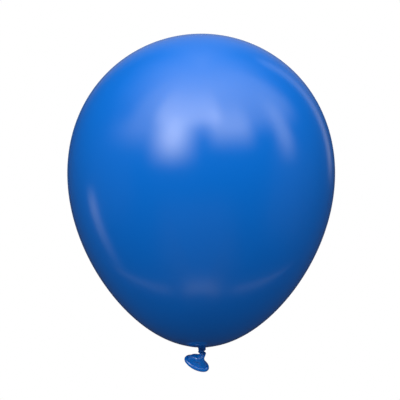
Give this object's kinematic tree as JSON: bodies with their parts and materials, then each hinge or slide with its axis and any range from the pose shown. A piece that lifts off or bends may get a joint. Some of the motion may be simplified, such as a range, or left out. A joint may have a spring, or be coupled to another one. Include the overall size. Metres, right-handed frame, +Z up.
{
  "type": "party balloon",
  "caption": "Air-filled latex balloon: egg-shaped thin bulb, gathered throat, knotted neck and an open flared tail with a rolled rim.",
  "frame": {"origin": "centre of the neck, in the crease between the bulb and the knot, where a ribbon is tied or a balloon stick's slot grips", "axes": "+Z up from the neck to the crown of the bulb, +X to the right and +Y to the back when the balloon is seen from the front; the tail leans to -X and +Y"},
  "size_m": [0.3, 0.3, 0.3789],
  "materials": {
    "stretched_film": "glossy blue latex film stretched thin, clean soft highlights",
    "gathered_film": "blue latex in fine radial pleats, darker where it bunches",
    "thick_latex": "unstretched blue latex, satin gloss, deeper colour",
    "rolled_latex": "rolled bead of blue latex, satin gloss"
  },
  "bodies": {
    "knot": {"neck_strand": "thick_latex", "knot_loop": "thick_latex"},
    "throat": {"gathered_throat": "gathered_film"},
    "bulb": {"inflated_bulb": "stretched_film"},
    "stem": {"tail_stem": "thick_latex"},
    "tail": {"tail_bell": "thick_latex", "rolled_rim": "rolled_latex"}
  },
  "joints": [
    {"name": "neck_nod", "type": "hinge", "parent": "knot", "child": "throat", "pos_m": [0, 0, 0.003], "axis": [1, 0, 0], "range_deg": [-12, 12], "stiffness_Nm_per_rad": 0.05},
    {"name": "bulb_sway", "type": "hinge", "parent": "throat", "child": "bulb", "pos_m": [0, 0, 0.003], "axis": [0, 1, 0], "range_deg": [-12, 12], "stiffness_Nm_per_rad": 0.05},
    {"name": "tail_swing", "type": "hinge", "parent": "knot", "child": "stem", "pos_m": [0, 0, -0.0068], "axis": [0, 1, 0], "range_deg": [-60, 8], "stiffness_Nm_per_rad": 0.002},
    {"name": "tail_fold", "type": "hinge", "parent": "stem", "child": "tail", "pos_m": [0, 0, -0.0068], "axis": [1, 0, 0], "range_deg": [-50, 8], "stiffness_Nm_per_rad": 0.002}
  ]
}
